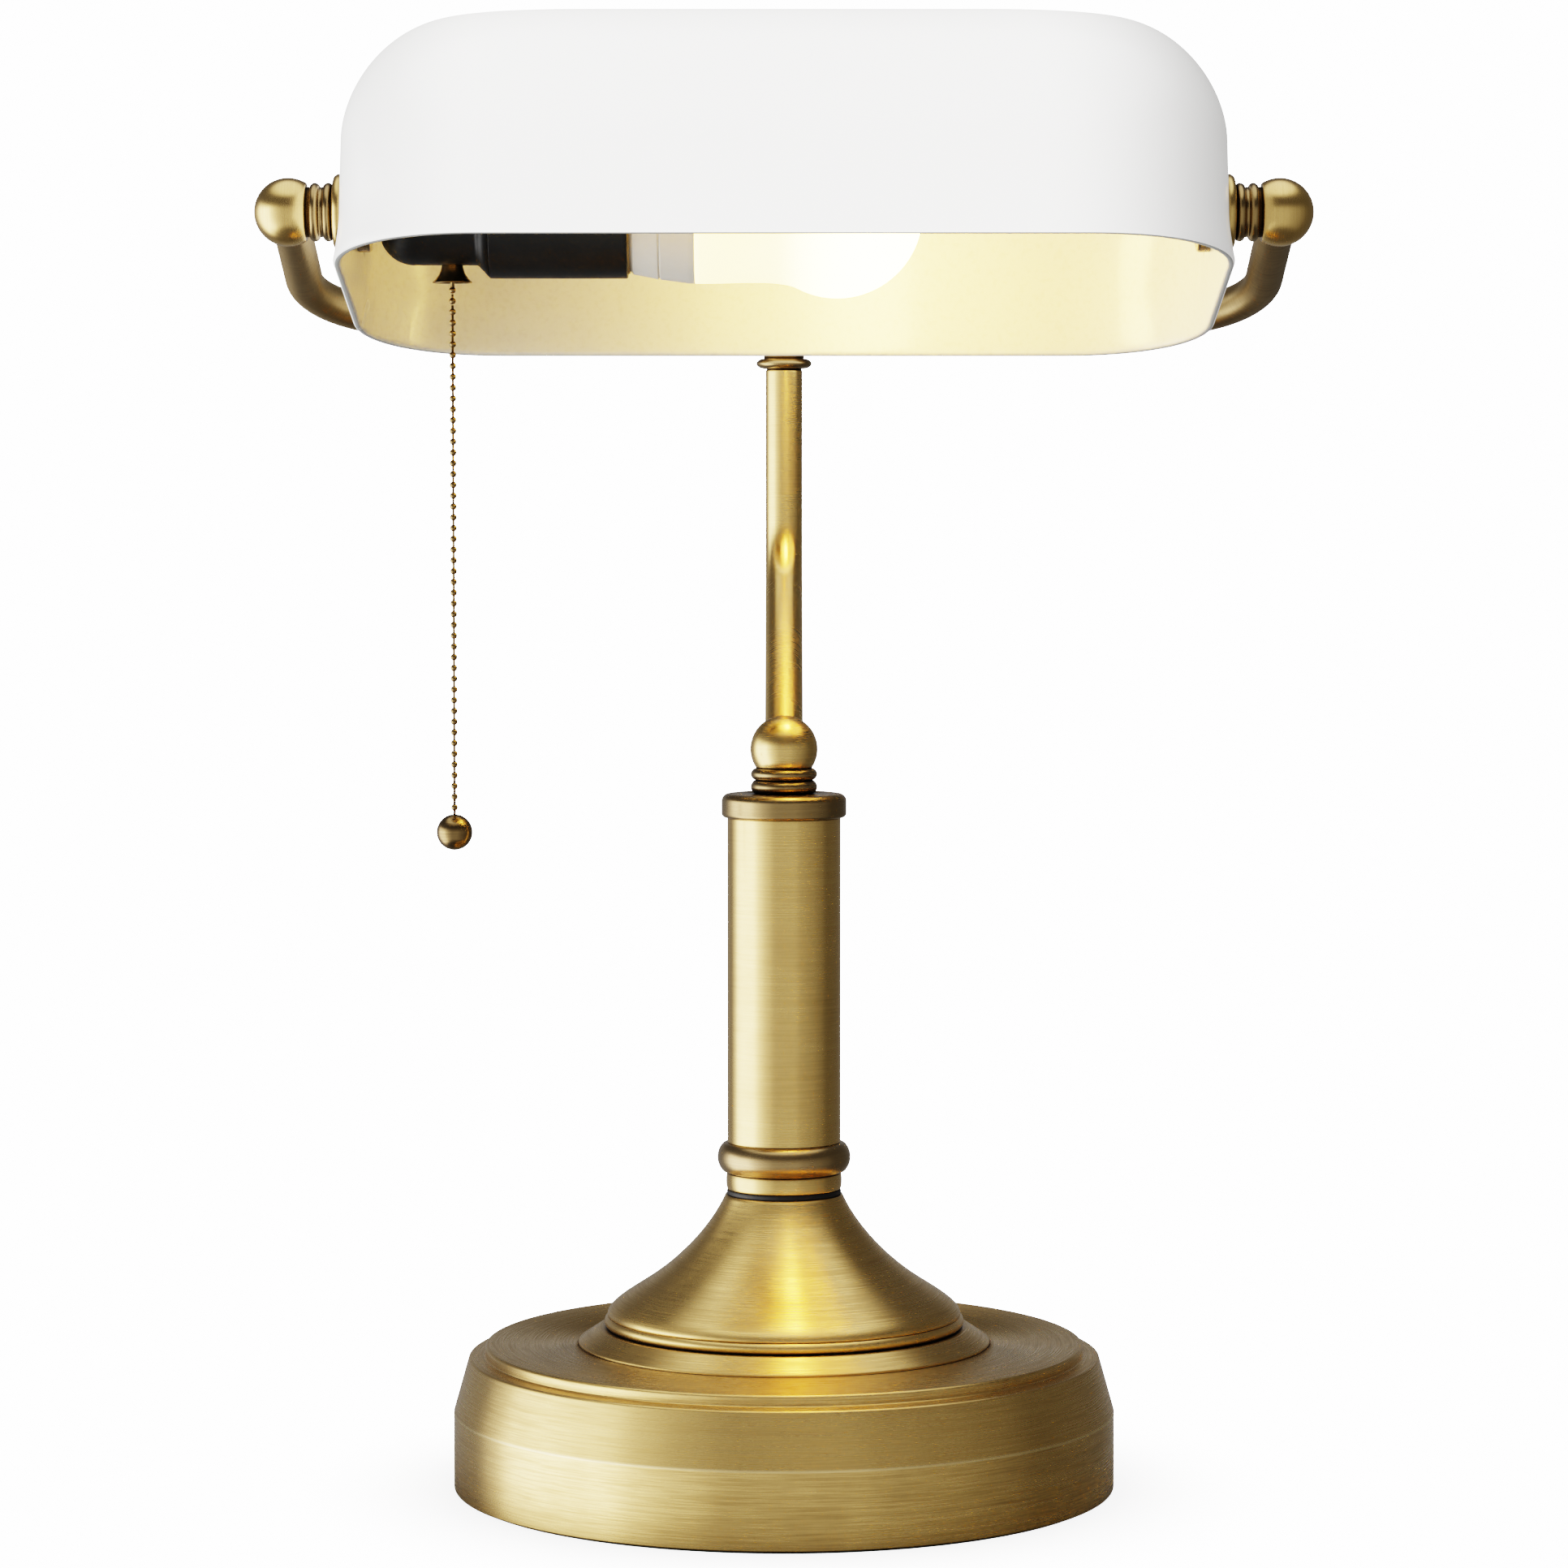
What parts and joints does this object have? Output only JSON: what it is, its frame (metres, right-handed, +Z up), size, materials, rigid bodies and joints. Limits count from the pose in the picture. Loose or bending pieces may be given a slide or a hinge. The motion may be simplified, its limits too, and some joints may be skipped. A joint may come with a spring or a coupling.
{
  "type": "banker desk lamp",
  "caption": "Desk lamp with a weighted round base, turned column, swan-neck stem and a bowed yoke that holds a tilting oblong glass shade over a pull-chain socket and bulb.",
  "frame": {"origin": "centre of the base's footprint on the table, where the felt pad rests", "axes": "+Z up along the column, -Y to the front of the lamp, +X to the right seen from the front, along the shade's pivot axis"},
  "size_m": [0.271, 0.1726, 0.3823],
  "materials": {
    "antique_brass": "antique brushed brass plating under clear lacquer",
    "dark_bronze": "darkened bronze, satin",
    "plain_brass": "plain turned brass",
    "felt": "dark felt pad",
    "cast_iron": "as cast",
    "steel": "zinc-plated steel",
    "rubber": "black rubber",
    "opal_glass": "glossy white opal glass, opaque",
    "socket_black": "black-brown lacquer",
    "insulator": "plain fibre sleeve",
    "phenolic": "brown phenolic moulding",
    "bulb_metal": "nickel-plated screw cap",
    "bulb_plastic": "grey-white plastic",
    "bulb_glow": "frosted diffuser, lit",
    "wire": "gold-brown insulated lead"
  },
  "bodies": {
    "stand": {"base_pad": "felt", "base_weight": "cast_iron", "base_shell": "antique_brass", "cord_grommet": "rubber", "rod_spacer": "steel", "step_ring": "antique_brass", "foot_ring": "antique_brass", "bell": "antique_brass", "gasket_ring": "rubber", "neck_ring": "antique_brass", "lower_collar": "dark_bronze", "column_tube": "antique_brass", "column_cap": "antique_brass", "ring_lower": "antique_brass", "ring_upper": "antique_brass", "column_ball": "antique_brass", "threaded_rod": "plain_brass", "rod_nut": "steel", "lock_washer": "steel", "stem_tube": "antique_brass", "stem_nipple": "plain_brass", "stem_ring": "antique_brass", "yoke_hub": "antique_brass", "yoke_tube_left": "antique_brass", "yoke_tube_right": "antique_brass", "knob_ball_left": "antique_brass", "knob_ball_right": "antique_brass", "knob_rings_left": "antique_brass", "knob_rings_right": "antique_brass", "flange_left": "antique_brass", "flange_right": "antique_brass", "pivot_nipple_left": "plain_brass", "pivot_nipple_right": "plain_brass", "inner_nut_left": "steel", "inner_nut_right": "steel", "socket_cap": "socket_black", "socket_body": "socket_black", "socket_insulator": "insulator", "switch_block": "phenolic", "screw_shell": "plain_brass", "centre_contact": "plain_brass", "chain_bell": "plain_brass", "lamp_wire": "wire"},
    "shade_body": {"shade": "opal_glass", "washer_left": "rubber", "washer_right": "rubber"},
    "lever": {"pull_lever": "plain_brass"},
    "link": {"chain_link": "plain_brass"},
    "chain": {"pull_chain": "plain_brass", "pull_ball": "plain_brass"},
    "bulb_tip_body": {"bulb_tip": "steel"},
    "bulb": {"bulb_cap": "bulb_metal", "bulb_collar": "bulb_plastic", "bulb_globe": "bulb_glow"}
  },
  "joints": [
    {"name": "shade_tilt", "type": "hinge", "parent": "stand", "child": "shade_body", "pos_m": [0, -0.01287, 0.33145], "axis": [1, 0, 0], "range_deg": [-25, 45]},
    {"name": "pull_switch", "type": "slide", "parent": "stand", "child": "lever", "axis": [0, 0, -1], "range_m": [0, 0.008], "stiffness_N_per_m": 600, "springref_m": -0.004},
    {"name": "chain_swing_side", "type": "hinge", "parent": "lever", "child": "link", "pos_m": [-0.08487, -0.01287, 0.31159], "axis": [0, 1, 0], "range_deg": [-25, 25]},
    {"name": "chain_swing_front", "type": "hinge", "parent": "link", "child": "chain", "pos_m": [-0.08487, -0.01287, 0.30883], "axis": [1, 0, 0], "range_deg": [-25, 25]},
    {"name": "bulb_turn", "type": "hinge", "parent": "stand", "child": "bulb_tip_body", "pos_m": [0, -0.01287, 0.33145], "axis": [1, 0, 0], "range_deg": [0, 2480]},
    {"name": "bulb_travel", "type": "slide", "parent": "bulb_tip_body", "child": "bulb", "axis": [1, 0, 0], "range_m": [0, 0.0255]}
  ],
  "couplings": [
    {"joint": "bulb_travel", "follows": "bulb_turn", "m_per_rad": 0.00057757}
  ]
}
